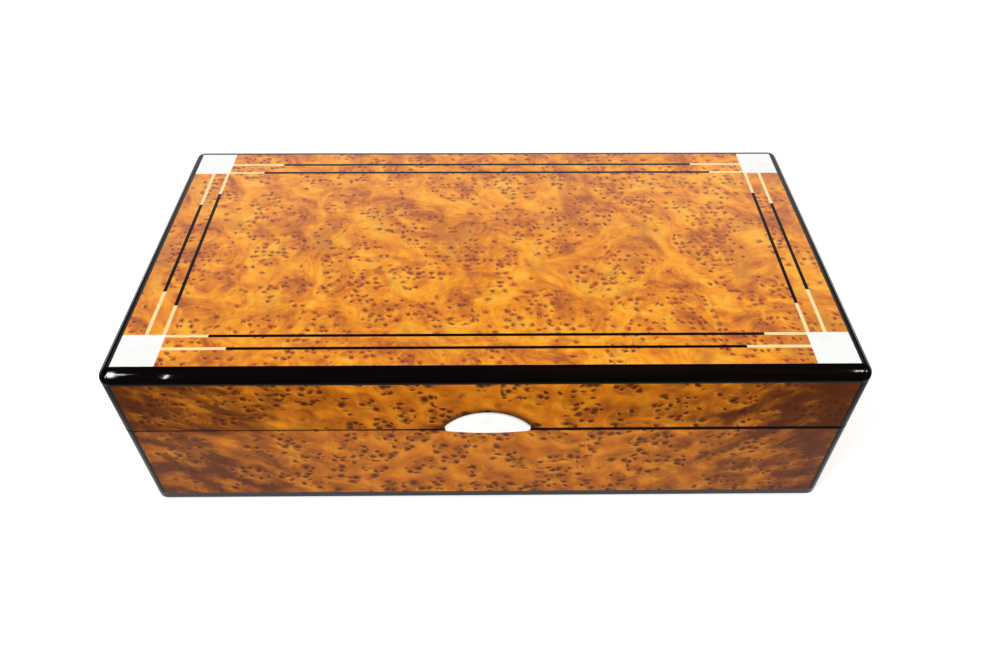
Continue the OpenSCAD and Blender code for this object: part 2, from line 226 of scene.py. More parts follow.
def noise(tree, place, size, detail=2.0, rough=0.5, seed=0.0, colour=False):
    """Cloudy noise whose blobs are about size across, in the units of place."""
    made = add(tree, "TexNoise", settings={"noise_dimensions": "4D"}, Vector=place,
               W=seed, Scale=1.0 / size, Detail=detail, Roughness=rough)
    return made.outputs["Color" if colour else "Fac"]


def bent(tree, place, size, reach, seed, detail=1.0):
    """place, pushed about by noise so that whatever is drawn on it swirls."""
    cloud = noise(tree, place, size, detail, seed=seed, colour=True)
    push = add(tree, "VectorMath", vector(tree, cloud, (0.5, 0.5, 0.5), "SUBTRACT"),
               settings={"operation": "SCALE"}, Scale=2.0 * reach)
    return vector(tree, place, push.outputs[0])


def blend_colour(tree, amount, first, second):
    """The first colour, covered with the second as far as amount says."""
    made = add(tree, "Mix", settings={"data_type": "RGBA"})
    # a Mix node keeps its colour sockets after those for numbers and vectors
    for socket, value in ((0, amount), (6, first), (7, second)):
        feed(tree, made.inputs[socket], value)
    return made.outputs[2]


def new_finish(name):
    """A material with one Principled shader: its tree and that shader."""
    made = bpy.data.materials.new(name)
    made.use_nodes = True
    tree = made.node_tree
    tree.nodes.clear()
    finish = add(tree, "BsdfPrincipled")
    add(tree, "OutputMaterial", finish.outputs[0])
    return made, tree, finish


def in_mm(tree, turn=(0, 0, 0), shift=(0, 0, 0)):
    """Object coordinates in millimetres, turned and shifted to suit a face."""
    where = add(tree, "TexCoord")
    return add(tree, "Mapping", where.outputs["Object"], shift, turn, (1 / mm,) * 3).outputs[0]


def raise_up(tree, normal, height, strength, depth):
    """Bumps on a shader's normal, as high as depth where height is 1."""
    bump = add(tree, "Bump", Strength=strength, Distance=depth * mm, Height=height)
    tree.links.new(bump.outputs[0], normal)


def dress(finish, *nodes):
    """CAD pieces take a finish in place of their plain one."""
    for node in nodes:
        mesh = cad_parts[node].data
        mesh.materials.clear()
        mesh.materials.append(finish)


cedar_light = srgb(196, 138, 88)
cedar_dark = srgb(140, 84, 48)


def cedar_finish(name, turn):
    """Cedar whose grain runs along x once the board is turned."""
    made, tree, finish = new_finish(name)
    drawn = bent(tree, in_mm(tree, turn), 70.0, 6.0, 1.0)
    along = vector(tree, drawn, (0.02, 1.0, 1.0), "MULTIPLY")
    rings = noise(tree, along, 7.0, 3.0, 0.6, 2.0)
    pores = noise(tree, along, 0.35, 2.0, 0.6, 3.0)
    colour = blend_colour(tree, fade(tree, rings, 0.35, 0.65), cedar_light, cedar_dark)
    colour = blend_colour(tree, fade(tree, pores, 0.5, 0.75, 0.0, 0.6), colour, cedar_dark)
    tree.links.new(colour, finish.inputs["Base Color"])
    finish.inputs["Roughness"].default_value = 0.48
    raise_up(tree, finish.inputs["Normal"], pores, 0.25, 0.1)
    return made


quarter = math.pi / 2
lengthwise, crosswise = (0, 0, 0), (0, 0, quarter)
sides = ("front", "right", "back", "left")
long_sides = ("front", "back")
cedar_along = cedar_finish("cedar_lengthwise", lengthwise)
cedar_across = cedar_finish("cedar_crosswise", crosswise)
for side in sides:
    cedar = cedar_along if side in long_sides else cedar_across
    dress(cedar, f"base_{side}_wall", f"lid_{side}_rail")
dress(cedar_along, "bottom_panel", "lid_panel")


# ---- Burl veneer ----
# Sawn sheets of thuya root, golden brown: knots crowded with small dark eyes, and grain that
# flows round them. They are glued over the walls and the lid, sanded flush with the inlay and
# varnished. The sheets along the parting have their arris eased, so it shows as a fine line.
box_l = 300.0
foot_top, base_rim, lid_rim, edging_low = 5.0, 50.0, 50.4, 78.2
veneer_t, arris = 1.0, 0.35
lift_w, lift_h, lift_end, lift_corner = 35.0, 10.7, 2.0, 1.2
lift_r = ((lift_w / 2) ** 2 + (lift_h - lift_end) ** 2) / (2 * (lift_h - lift_end))
lift_near = lift_r - lift_h

pinker = srgb(214, 150, 128)
grime_and_painted_shade = srgb(24, 9, 6)


def varnish(tree, finish, ripple=0.05, gloss=1.33):
    """Clear gloss over the wood, with the faint ripple of a hand-rubbed coat."""
    finish.inputs["Roughness"].default_value = 0.55
    finish.inputs["Specular IOR Level"].default_value = 0.0
    finish.inputs["Coat Weight"].default_value = 1.0
    finish.inputs["Coat Roughness"].default_value = 0.05
    finish.inputs["Coat IOR"].default_value = gloss
    raise_up(tree, finish.inputs["Coat Normal"], noise(tree, in_mm(tree), 9.0, 1.0), ripple, 0.2)


def plus(tree, value, extra, share):
    """A value and a share of another one."""
    return reckon(tree, value, product(tree, extra, share))


def knots(tree, place, size):
    """Round knots about size apart: 0 in the middle of each and about 0.6 between them, with
    a chance value for each."""
    made = add(tree, "TexVoronoi", Vector=place, Scale=1.0 / size, Smoothness=0.35,
               Randomness=0.95, settings={"voronoi_dimensions": "2D", "feature": "SMOOTH_F1"})
    return made.outputs["Distance"], add(tree, "SeparateColor", made.outputs["Color"]).outputs[0]


def ringed(tree, place, squeeze, growth):
    """place, squeezed and lifted by the growth round the knots, for grain that follows it."""
    flat = vector(tree, place, (squeeze, squeeze, 0.0), "MULTIPLY")
    return vector(tree, flat, add(tree, "CombineXYZ", 0.0, 0.0, growth).outputs[0])


def eye_layer(tree, place, cell, small, large, crowding, ragged):
    """Burl eyes scattered one to a cell, between small and large in radius and more or less
    ragged. Crowding, from 0 to 1, says how many cells hold one. Gives the dark core, the
    brown halo and a painted highlight: a pale crescent on the side of each eye that faces one
    fixed direction."""
    spots = add(tree, "TexVoronoi", settings={"voronoi_dimensions": "2D"}, Vector=place,
                Scale=1.0 / cell, Randomness=0.9)
    first, second, third = add(tree, "SeparateColor", spots.outputs["Color"]).outputs
    held = fade(tree, reckon(tree, crowding, second, "SUBTRACT"), 0.0, 0.08)
    radius = fade(tree, first, 0.0, 1.0, small, large, "LINEAR")
    # each eye is an oval, turned by chance
    away = vector(tree, place, spots.outputs["Position"], "SUBTRACT")
    turn = fade(tree, third, 0.0, 1.0, -0.8, 0.8, "LINEAR")
    away = add(tree, "VectorRotate", settings={"rotation_type": "Z_AXIS"}, Vector=away,
               Angle=turn).outputs[0]
    oval = add(tree, "CombineXYZ", radius, product(tree, radius, 0.8), 1.0).outputs[0]
    away = vector(tree, away, oval, "DIVIDE")
    flat = vector(tree, away, (1.0, 1.0, 0.0), "MULTIPLY")
    reach = add(tree, "VectorMath", flat, settings={"operation": "LENGTH"}).outputs["Value"]
    torn = reckon(tree, noise(tree, place, 0.9, 1.0, 0.5, 31.0), -0.5)
    reach = plus(tree, reach, torn, ragged)
    depth = fade(tree, third, 0.0, 1.0, 0.45, 1.0, "LINEAR")
    core = product(tree, fade(tree, reach, 1.3, 0.1), product(tree, held, depth))
    halo = product(tree, fade(tree, reach, 2.8, 0.5), held)
    # painted highlight: the side of each eye toward one fixed direction is paler
    lit = add(tree, "VectorMath", flat, (-0.45, -0.9, 0.0), settings={"operation": "DOT_PRODUCT"})
    side = fade(tree, lit.outputs["Value"], 0.2, 1.1)
    painted_crescent = product(tree, product(tree, side, fade(tree, reach, 2.8, 1.8)),
                       product(tree, held, fade(tree, reach, 1.1, 1.7)))
    return core, halo, painted_crescent


def tone_ramp(tree, value, colours):
    """The colour for a tone from 0 to 1, through evenly spaced colours from dark to bright."""
    ramp = add(tree, "ValToRGB", value)
    stops = ramp.color_ramp.elements
    stops[0].color, stops[-1].color = colours[0], colours[-1]
    for count, colour in enumerate(colours[1:-1], 1):
        stops.new(count / (len(colours) - 1)).color = colour
    return ramp.outputs[0]


def end_smears(tree, place, along, height, streak):
    """Long dark smears toward the ends of a wall, slanting outwards and down, and how much
    darker they are at their deepest. The lid's right end has most."""
    off = reckon(tree, along, operation="ABSOLUTE")
    slant = add(tree, "CombineXYZ", product(tree, off, -0.055), product(tree, off, -0.36))
    slant = vector(tree, bent(tree, place, 12.0, 4.0, 21.0), slant.outputs[0])
    slant = vector(tree, slant, (0.62, 1.1, 0.0), "MULTIPLY")
    smear = noise(tree, slant, 11.0, 4.0, 0.55, 22.0)
    smear = reckon(tree, smear, fade(tree, off, 20.0, box_l / 2 - 5, -0.10, 0.17))
    smear = reckon(tree, smear, streak)
    right = fade(tree, along, 90.0, box_l / 2, 0.0, 0.09)
    on_lid = fade(tree, height, base_rim - 1, base_rim + 1, 0.2, 1.0)
    smear = reckon(tree, smear, product(tree, right, on_lid))
    deep = fade(tree, smear, 0.62, 0.86, 0.0, 0.4)
    return product(tree, fade(tree, smear, 0.42, 0.74), 0.95), deep


def joint_colour(tree, colour, along, height):
    """The look of the parting: the base is a shade pinker than the lid, and the joint between
    them is a dark line of grime and painted shade in the gap, which widens to the right."""
    colour = blend_colour(tree, fade(tree, height, lid_rim, base_rim, 0.0, 0.055), colour, pinker)
    # painted shade in the parting gap, with some grime: a dark line, darker to the right
    off = reckon(tree, reckon(tree, height, -(base_rim + lid_rim) / 2), operation="ABSOLUTE")
    off = product(tree, off, fade(tree, along, -100.0, 60.0, 1.25, 0.6))
    dark = product(tree, fade(tree, off, 0.8, 0.4), fade(tree, along, -120.0, 20.0, 0.6, 1.0))
    return blend_colour(tree, dark, colour, grime_and_painted_shade)


def lift_shade(tree, colour, height):
    """Painted shade on the lid's front round the thumb lift, which stands proud of it."""
    where = vector(tree, in_mm(tree), (0.0, 0.0, lid_rim - lift_near), "SUBTRACT")
    flat = vector(tree, where, (1.0, 0.0, 1.0), "MULTIPLY")
    reach = add(tree, "VectorMath", flat, settings={"operation": "LENGTH"}).outputs["Value"]
    on_front = fade(tree, add(tree, "SeparateXYZ", where).outputs[1], -60.0, -70.0)
    above = product(tree, fade(tree, height, lid_rim, lid_rim + 0.2), on_front)
    # painted shade, darkest next to the lift's arc
    dark = product(tree, fade(tree, reach, lift_r + 4.4, lift_r + 0.4, 0.0, 0.8), above)
    return blend_colour(tree, dark, colour, grime_and_painted_shade)


def burl_finish(name, tones, brown, eye_dark, knot, eye_size, crowding, ragged, flames, smoke,
                gloss, turn=(0, 0, 0), shift=(0, 0, 0), upright=False):
    """Burl on a sheet that lies level once it is turned. Knots are knot apart, flames says how
    lively the grain is, and smoke how brown the clouds over it are. Each knot is painted lighter
    on one side and darker on the other, as if lit from one side. An upright sheet also has the
    smears, the joint's grime and painted shade, and painted shade round the thumb lift."""
    made, tree, finish = new_finish(name)
    place = in_mm(tree, turn, shift)
    swirl = bent(tree, place, 45.0, 13.0, 1.0)
    curl = bent(tree, swirl, 14.0, 3.2, 2.0)
    mild = bent(tree, place, 12.0, 2.0, 9.0)

    # the grain flows round the knots, and each knot is painted lighter on one side and darker on
    # the other: painted light and shade of a relief, as if lit from one direction
    beyond = vector(tree, curl, (1.2, 1.7, 0.0))
    away, chance = knots(tree, curl, knot)
    next_away, _ = knots(tree, beyond, knot)
    rough, next_rough = (noise(tree, at, 9.0, 4.0, 0.58, 3.0) for at in (curl, beyond))
    painted_relief_shading = plus(tree, reckon(tree, away, next_away, "SUBTRACT"),
                  reckon(tree, rough, next_rough, "SUBTRACT"), 0.8)
    growth = plus(tree, away, rough, 0.35)
    soft = noise(tree, swirl, 24.0, 3.0, 0.6, 4.0)
    bands = ringed(tree, curl, 0.05, product(tree, growth, knot / 3.9))
    flame = noise(tree, bands, 1.0, 2.0, 0.6, 6.0)
    tone = plus(tree, product(tree, painted_relief_shading, 1.9), soft, 1.2)
    tone = reckon(tree, plus(tree, tone, flame, 1.5), -1.35)

    # growth lines and fibres
    line = reckon(tree, product(tree, growth, knot * 1.3), 1.0, "PINGPONG")
    broken = fade(tree, noise(tree, swirl, 11.0, 2.0, 0.5, 8.0), 0.48, 0.62)
    thin = product(tree, fade(tree, line, 0.34, 0.0),
                   product(tree, broken, fade(tree, away, 0.22, 0.4)))
    tone = plus(tree, tone, thin, -0.22)
    fibre = noise(tree, ringed(tree, curl, 0.10, product(tree, growth, knot)), 1.0, 3.0, 0.7, 8.0)
    fibre = reckon(tree, fibre, -0.5)
    streak = product(tree, fibre, 0.12)
    tone = plus(tree, tone, fibre, 0.75)

    # brown clouds that veil the flames
    cloud = fade(tree, noise(tree, curl, 15.0, 4.0, 0.6, 5.0), 0.46, 0.74)
    tone = plus(tree, tone, cloud, -0.45)
    tone = reckon(tree, product(tree, tone, flames), 0.66)

    # eyes, close together inside some knots and scattered between them
    inside = plus(tree, away, rough, 0.5)
    packed = product(tree, fade(tree, inside, 0.74, 0.60), fade(tree, chance, 0.06, 0.14))
    sparse = fade(tree, noise(tree, swirl, 14.0, 2.0, 0.5, 11.0), 0.48, 0.58, 0.06, 0.5)
    grown = vector(tree, mild, (1.0 / eye_size, 1.0 / eye_size, 0.0), "MULTIPLY")
    apart = vector(tree, grown, (31.0, 17.0, 0.0))
    close = eye_layer(tree, grown, 3.2, 0.55, 1.15, product(tree, packed, crowding), ragged)
    loose = eye_layer(tree, apart, 4.6, 0.75, 1.15, sparse, ragged)
    core, halo, painted_crescent = (most(tree, a, b) for a, b in zip(close, loose))
    # the eyes' painted highlights brighten the tone
    colour = tone_ramp(tree, plus(tree, tone, painted_crescent, 0.35), tones)

    # round the eyes the wood is browner, and the clouds of smoke are brown too
    smudge = fade(tree, noise(tree, mild, 6.0, 2.0, 0.5, 15.0), 0.5, 0.66)
    smudge = product(tree, smudge, most(tree, packed, sparse))
    veil = most(tree, product(tree, halo, 0.85), product(tree, smudge, 0.45))
    smoky = reckon(tree, noise(tree, swirl, 24.0, 4.0, 0.55, 17.0), streak)
    veil = most(tree, veil, fade(tree, smoky, 0.50, 0.68, 0.0, smoke))
    if upright:
        along = add(tree, "SeparateXYZ", place).outputs[0]
        along = reckon(tree, along, shift[0], "SUBTRACT")
        height = add(tree, "SeparateXYZ", in_mm(tree)).outputs[2]
        smear, deep = end_smears(tree, place, along, height, streak)
        shadow = product(tree, fade(tree, inside, 0.62, 0.30, 0.0, 0.6), chance)
        veil = most(tree, veil, most(tree, shadow, smear))
    colour = blend_colour(tree, veil, colour, brown)
    colour = blend_colour(tree, product(tree, core, 0.85), colour, eye_dark)
    if upright:
        colour = blend_colour(tree, deep, colour, eye_dark)
        # grime and painted shade along the parting, then painted shade round the thumb lift
        colour = joint_colour(tree, colour, along, height)
        colour = lift_shade(tree, colour, height)

    tree.links.new(colour, finish.inputs["Base Color"])
    varnish(tree, finish, gloss=gloss)
    return made


def wall_burl(name, turn, shift):
    """Burl for the sides of the box, duller than the lid's top. Its tones are darker and
    browner than the top's: painted shade for upright sides that are lit less than the top.
    """
    # the top's burl with darkened tones: painted shade of the upright sides
    tones = [srgb(88, 38, 8), srgb(130, 64, 12), srgb(165, 87, 13), srgb(192, 107, 16),
             srgb(212, 127, 20), srgb(228, 145, 34)]
    return burl_finish(name, tones, brown=srgb(86, 38, 10), eye_dark=srgb(46, 16, 6), knot=11.0,
                       eye_size=1.2, crowding=0.95, ragged=1.2, flames=0.42, smoke=0.0,
                       gloss=1.12, turn=turn, shift=shift, upright=True)


top_tones = [srgb(178, 97, 46), srgb(204, 115, 44), srgb(226, 133, 44), srgb(244, 150, 44),
             srgb(255, 166, 46), srgb(255, 181, 58)]
burl_top = burl_finish("burl_top", top_tones, brown=srgb(172, 87, 54), eye_dark=srgb(106, 42, 22),
                       knot=20.0, eye_size=0.9, crowding=0.55, ragged=2.8, flames=1.05,
                       smoke=0.6, gloss=1.46)
burl_long = wall_burl("burl_long_sides", (-quarter, 0, 0), (40, 300, 0))
burl_short = wall_burl("burl_short_sides", (quarter, quarter, 0), (700, 90, 0))
dress(burl_top, "top_veneer")


def hold(piece):
    """Selects one piece alone for the next operator."""
    deselect()
    piece.select_set(True)
    bpy.context.view_layer.objects.active = piece


def placed(piece, name):
    """Names a piece and its mesh, and puts its place, turn and size into the mesh."""
    piece.name = piece.data.name = name
    bpy.ops.object.transform_apply(location=True, rotation=True, scale=True)
    return piece


def block(name, low, high):
    """A rectangular blank between two corners, in millimetres, ready to be shaped."""
    deselect()
    low, high = Vector(low) * mm, Vector(high) * mm
    bpy.ops.mesh.primitive_cube_add(size=1.0, location=(low + high) / 2, scale=high - low)
    return placed(bpy.context.object, name)


def rod(name, radius, start, end, sides=48, end_radius=None):
    """A round blank from one point to another, in millimetres, or a cone if its ends differ."""
    deselect()
    start, end = Vector(start) * mm, Vector(end) * mm
    turn = (end - start).to_track_quat("Z", "Y").to_euler()
    far = radius if end_radius is None else end_radius
    bpy.ops.mesh.primitive_cone_add(vertices=sides, radius1=radius * mm, radius2=far * mm,
                                    depth=(end - start).length, location=(start + end) / 2,
                                    rotation=turn)
    return placed(bpy.context.object, name)


def pick(piece, kind, test):
    """Starts editing a piece with only those of its corners, edges or faces selected that pass
    a test: on the place of a corner, on both ends of an edge, or on a face's middle and normal."""
    hold(piece)
    mesh = piece.data
    for part in (*mesh.vertices, *mesh.edges, *mesh.polygons):
        part.select = False
    places = [vertex.co / mm for vertex in mesh.vertices]
    if kind == "VERT":
        for vertex, place in zip(mesh.vertices, places):
            vertex.select = test(place)
    elif kind == "EDGE":
        for edge in mesh.edges:
            edge.select = test(*(places[i] for i in edge.vertices))
    else:
        for face in mesh.polygons:
            face.select = test(face.center / mm, face.normal)
    bpy.context.tool_settings.mesh_select_mode = tuple(kind == k for k in ("VERT", "EDGE", "FACE"))
    bpy.ops.object.mode_set(mode="EDIT")


def close_up(gap=0.02):
    """Ends editing: merges corners that have met, and turns all faces outwards."""
    bpy.ops.mesh.select_all(action="SELECT")
    bpy.ops.mesh.remove_doubles(threshold=gap * mm)
    bpy.ops.mesh.normals_make_consistent(inside=False)
    bpy.ops.object.mode_set(mode="OBJECT")


def ease(piece, radius, steps, test):
    """Rounds the edges of a piece that pass a test on both their ends."""
    pick(piece, "EDGE", test)
    bpy.ops.mesh.bevel(offset=radius * mm, segments=steps, profile=0.5, affect="EDGES",
                       clamp_overlap=False)
    close_up()


def fit(piece, kind, **settings):
    """Adds a modifier to a piece and applies it."""
    hold(piece)
    modifier = piece.modifiers.new(kind.lower(), kind)
    for key, value in settings.items():
        setattr(modifier, key, value)
    bpy.ops.object.modifier_apply(modifier=modifier.name)


def cut(piece, *tools, operation="DIFFERENCE"):
    """Takes the shape of each tool out of a piece, or adds it, and puts the tool away."""
    for tool in tools:
        fit(piece, "BOOLEAN", operation=operation, object=tool, solver="EXACT")
        bpy.data.objects.remove(tool)


def smooth(piece, angle=30.0):
    """Shades smooth across shallow edges, while flat faces keep their own direction."""
    hold(piece)
    bpy.ops.object.shade_smooth_by_angle(angle=math.radians(angle))
    fit(piece, "WEIGHTED_NORMAL", keep_sharp=True)


def copied(piece, name, turn=0.0, move=(0, 0, 0)):
    """A copy with its own mesh, turned about the upright through the origin, then moved."""
    hold(piece)
    bpy.ops.object.duplicate(linked=False)
    made = bpy.context.object
    made.rotation_euler = (0, 0, turn)
    made.location = Vector(move) * mm
    return placed(made, name)


def hand_over(piece, finish, slot, body, *nodes):
    """A finished piece gets its material, rides on its body and stands for its CAD nodes."""
    piece.data.materials.clear()
    piece.data.materials.append(finish)
    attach(piece, body)
    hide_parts(*nodes)


def half_moon(name, back, front=None, lip=0.0):
    """The outline of the thumb lift with its edge eased by lip. Back and front lie so far
    outwards from the front of the box, or the front is domed."""
    deselect()
    bpy.ops.mesh.primitive_grid_add(x_subdivisions=72, y_subdivisions=18, size=2.0,
                                    rotation=(quarter, 0, 0))
    piece = placed(bpy.context.object, name)
    for vertex in piece.data.vertices:
        x = lift_w / 2 * math.sin(vertex.co.x * quarter)
        top = math.sqrt(lift_r ** 2 - x ** 2) - lift_near
        # past the straight part of the lower edge its corners are rounded
        over = max(abs(x) - (lift_w / 2 - lift_corner), 0.0)
        low = lift_corner - math.sqrt(max(lift_corner ** 2 - over ** 2, 0.0))
        z = low + (top - low) * (0.5 + 0.5 * math.sin(vertex.co.z * quarter))
        reach = math.hypot(x, z + lift_near)
        proud = math.sqrt(dome_r ** 2 - reach ** 2) - dome_back if front is None else front
        # near the edge it curves back by up to lip
        edge = min(lift_r - reach, z if not over else
                   lift_corner - math.hypot(over, max(lift_corner - z, 0.0)))
        sunk = max(lip - edge, 0.0)
        proud -= lip - math.sqrt(max(lip ** 2 - sunk ** 2, 0.0))
        vertex.co = Vector((x, -box_w / 2 - proud, lid_rim + z)) * mm
    pick(piece, "FACE", lambda middle, normal: True)
    bpy.ops.mesh.extrude_region_move(TRANSFORM_OT_translate={"value": (0, 5 * mm, 0)})
    bpy.ops.transform.resize(value=(1, 0, 1), center_override=(0, (-box_w / 2 - back) * mm, 0))
    close_up(0.001)
    return piece


# the lift's front is 2.2 mm proud of the box at the middle of its lower edge, and less above
dome_r, dome_back = 137.8, 135.14
hinge_at, hinge_half, leaf_t = 90.0, 15.0, 2.4
# corners that are nearer than this to a line or plane lie on it
touching = 0.01
# each half of the box: its body, from where to where its sheets reach, and its rim
halves = (("base", foot_top, base_rim, base_rim), ("lid", lid_rim, edging_low, lid_rim))

for body, low, high, rim in halves:
    for count, side in enumerate(sides):
        length, across = (box_l, box_w) if side in long_sides else (box_w, box_l)
        half, face = length / 2 - edging_w, -across / 2
        sheet = block("sheet", (-half, face, low), (half, face + veneer_t, high))
        ease(sheet, arris, 4, lambda a, b: max(abs(a.z - rim), abs(b.z - rim)) < touching
             and max(a.y, b.y) < face + touching)
        if (body, side) == ("lid", "front"):
            cut(sheet, half_moon("pocket", -2.0, 1.0))
        if side == "back":
            # notches for the leaves, open toward the parting
            deep, out = (rim + leaf_t, rim - 1) if body == "lid" else (rim - leaf_t, rim + 1)
            for place in (-hinge_at, hinge_at):
                cut(sheet, block("notch", (place - hinge_half, face - 1, min(deep, out)),
                                 (place + hinge_half, face + veneer_t + 1, max(deep, out))))
        smooth(sheet)
        piece = copied(sheet, f"{body}_{side}_burl", count * quarter)
        bpy.data.objects.remove(sheet)
        burl = burl_long if side in long_sides else burl_short
        hand_over(piece, burl, "burl_veneer", body, f"{body}_{side}_veneer")


# ---- Ebony edging and corner strips ----
# Black hardwood at every outer edge: a quarter-round round the lid, upright strips at the
# corners above and below the parting, and a low plinth round the foot, mitred at the corners.
foot_low, foot_round = 0.4, 1.5


def ebony_finish(name, turn, gloss=1.4, black=srgb(4, 2, 2), brown=srgb(34, 12, 7)):
    """Ebony whose grain runs along x once the strip is turned, black with brown streaks."""
    made, tree, finish = new_finish(name)
    along = vector(tree, in_mm(tree, turn), (0.012, 1.0, 1.0), "MULTIPLY")
    streak = noise(tree, along, 1.6, 3.0, 0.6, 2.0)
    colour = blend_colour(tree, fade(tree, streak, 0.50, 0.72, 0.0, 0.5), black, brown)
    tree.links.new(colour, finish.inputs["Base Color"])
    varnish(tree, finish, 0.01, gloss)
    finish.inputs["Coat Roughness"].default_value = 0.03
    return made


ebony_along = ebony_finish("ebony_lengthwise", lengthwise)
ebony_across = ebony_finish("ebony_crosswise", crosswise)
ebony_upright = ebony_finish("ebony_upright", (0, quarter, 0), 1.18)


def mitred_strip(run, out, low, high, radius, outer_z):
    """A length of edging along the front, its arris rounded and its ends turned to the mitre."""
    strip = block("strip", (-run / 2, -out, low), (run / 2, edging_w - out, high))
    ease(strip, min(radius, edging_w - touching), 14, lambda a, b: max(a.y, b.y) < touching - out
         and max(abs(a.z - outer_z), abs(b.z - outer_z)) < touching)
    for end in (-1, 1):
        pick(strip, "FACE", lambda middle, normal: normal.x * end > 0.9
             and middle.x * end > run / 2 - touching)
        bpy.ops.mesh.spin(steps=10, angle=-end * quarter / 2, axis=(0, 0, 1),
                          center=(end * run / 2 * mm, (edging_w - out) * mm, 0))
        close_up()
    smooth(strip, 40.0)
    return strip


for kind, body, low, high, radius, outer in (
        ("foot", "base", foot_low, foot_top, foot_round, foot_low),
        ("top", "lid", edging_low, box_top, edging_w, box_top)):
    for first, length, across, ebony in (
            (0, box_l, box_w, ebony_along), (1, box_w, box_l, ebony_across)):
        strip = mitred_strip(length - 2 * edging_w, across / 2, low, high, radius, outer)
        for count in (first, first + 2):
            piece = copied(strip, f"{kind}_{sides[count]}_ebony", count * quarter)
            hand_over(piece, ebony, "ebony", body, f"{kind}_{sides[count]}_edging")
        bpy.data.objects.remove(strip)

corners = (("front_left", -1, -1), ("front_right", 1, -1),
           ("back_right", 1, 1), ("back_left", -1, 1))
for body, low, high, rim in halves:
    deselect()
    middle = Vector((-edging_w / 2, 0, (low + high) / 2)) * mm
    bpy.ops.mesh.primitive_plane_add(size=1.0, location=middle, rotation=(quarter, 0, 0))
    bpy.context.object.scale = (edging_w * mm, (high - low) * mm, 1)
    strip = placed(bpy.context.object, "strip")
    pick(strip, "VERT", lambda place: place.x < touching - edging_w
         and abs(place.z - rim) < touching)
    bpy.ops.mesh.bevel(offset=arris * mm, segments=4, profile=0.5, affect="VERTICES")
    bpy.ops.mesh.select_all(action="SELECT")
    bpy.ops.mesh.spin(steps=16, angle=-quarter, axis=(0, 0, 1), center=(0, 0, 0))
    close_up()
    smooth(strip, 40.0)
    for count, (corner, right, back) in enumerate(corners):
        at = (right * (box_l / 2 - edging_w), back * (box_w / 2 - edging_w), 0)
        piece = copied(strip, f"{body}_{corner}_ebony", count * quarter, at)
        hand_over(piece, ebony_upright, "ebony", body, f"{body}_{corner}_corner")
    bpy.data.objects.remove(strip)


# ---- Strings ----
# Narrow lines let into the lid's veneer along each side, two by two: ebony in the middle and
# pale lemonwood at both ends, glued in grooves and sanded flush.
lemon_pale = srgb(255, 229, 170)
lemon_dark = srgb(226, 186, 120)


def lemonwood_finish(name, turn):
    """Lemonwood whose fine grain runs along x once the string is turned."""
    made, tree, finish = new_finish(name)
    along = vector(tree, in_mm(tree, turn), (0.05, 1.0, 1.0), "MULTIPLY")
    grain = noise(tree, along, 0.5, 3.0, 0.6, 2.0)
    colour = blend_colour(tree, fade(tree, grain, 0.45, 0.75, 0.0, 0.7), lemon_pale, lemon_dark)
    tree.links.new(colour, finish.inputs["Base Color"])
    varnish(tree, finish)
    return made


for run, way, turn in (("long", "lengthwise", lengthwise), ("short", "crosswise", crosswise)):
    ebony = ebony_finish(f"ebony_string_{way}", turn, 1.25, srgb(16, 9, 6), srgb(52, 26, 16))
    dress(ebony, f"{run}_ebony_strings")
    dress(lemonwood_finish(f"lemonwood_{way}", turn), f"{run}_lemonwood_strings")


# ---- Bone squares and thumb lift ----
# Polished white bone: a square let into each corner of the lid, and a half-moon glued into the
# middle of the lid's front, thick at its lower edge so that a thumb can raise the lid by it.
bone_white = srgb(254, 254, 252)
bone_shade = srgb(240, 236, 226)


def bone_finish(name):
    """Bone with the faint long fibres and pores of the shin it was sawn from."""
    made, tree, finish = new_finish(name)
    place = in_mm(tree)
    along = vector(tree, place, (0.08, 1.0, 1.0), "MULTIPLY")
    fibres = noise(tree, along, 0.6, 3.0, 0.6, 2.0)
    cloud = noise(tree, place, 9.0, 2.0, 0.5, 3.0)
    colour = blend_colour(tree, fade(tree, cloud, 0.45, 0.7, 0.0, 0.25), bone_white, bone_shade)
    colour = blend_colour(tree, fade(tree, fibres, 0.58, 0.75, 0.0, 0.6), colour, bone_shade)
    tree.links.new(colour, finish.inputs["Base Color"])
    finish.inputs["Subsurface Weight"].default_value = 0.15
    finish.inputs["Subsurface Radius"].default_value = (0.8, 0.7, 0.5)
    finish.inputs["Subsurface Scale"].default_value = mm
    varnish(tree, finish, 0.02)
    return made


dress(bone_finish("bone_flat"), *(f"{corner}_square" for corner, _, _ in corners))
lift = half_moon("bone_thumb_lift", -veneer_t, lip=0.35)
smooth(lift, 50.0)
hand_over(lift, bone_finish("bone_lift"), "bone", "lid", "thumb_lift")


# ---- Brass hinges ----
# Two stop hinges in the back rim. A leaf is let into the base and one into the lid, each held
# by two countersunk screws. They turn on a pin and stop against each other just past upright.
brass_bright = srgb(232, 190, 104)
brass_dull = srgb(196, 148, 74)
brass, tree, finish = new_finish("brass")
place = in_mm(tree)
scratch = noise(tree, vector(tree, place, (0.05, 1.0, 1.0), "MULTIPLY"), 0.12, 2.0, 0.6, 2.0)
cloud = noise(tree, place, 4.0, 3.0, 0.6, 3.0)
colour = blend_colour(tree, fade(tree, cloud, 0.4, 0.7), brass_bright, brass_dull)
tree.links.new(colour, finish.inputs["Base Color"])
finish.inputs["Metallic"].default_value = 1.0
worn = fade(tree, plus(tree, cloud, scratch, 0.5), 0.4, 1.0, 0.18, 0.36)
tree.links.new(worn, finish.inputs["Roughness"])
raise_up(tree, finish.inputs["Normal"], scratch, 0.15, 0.02)

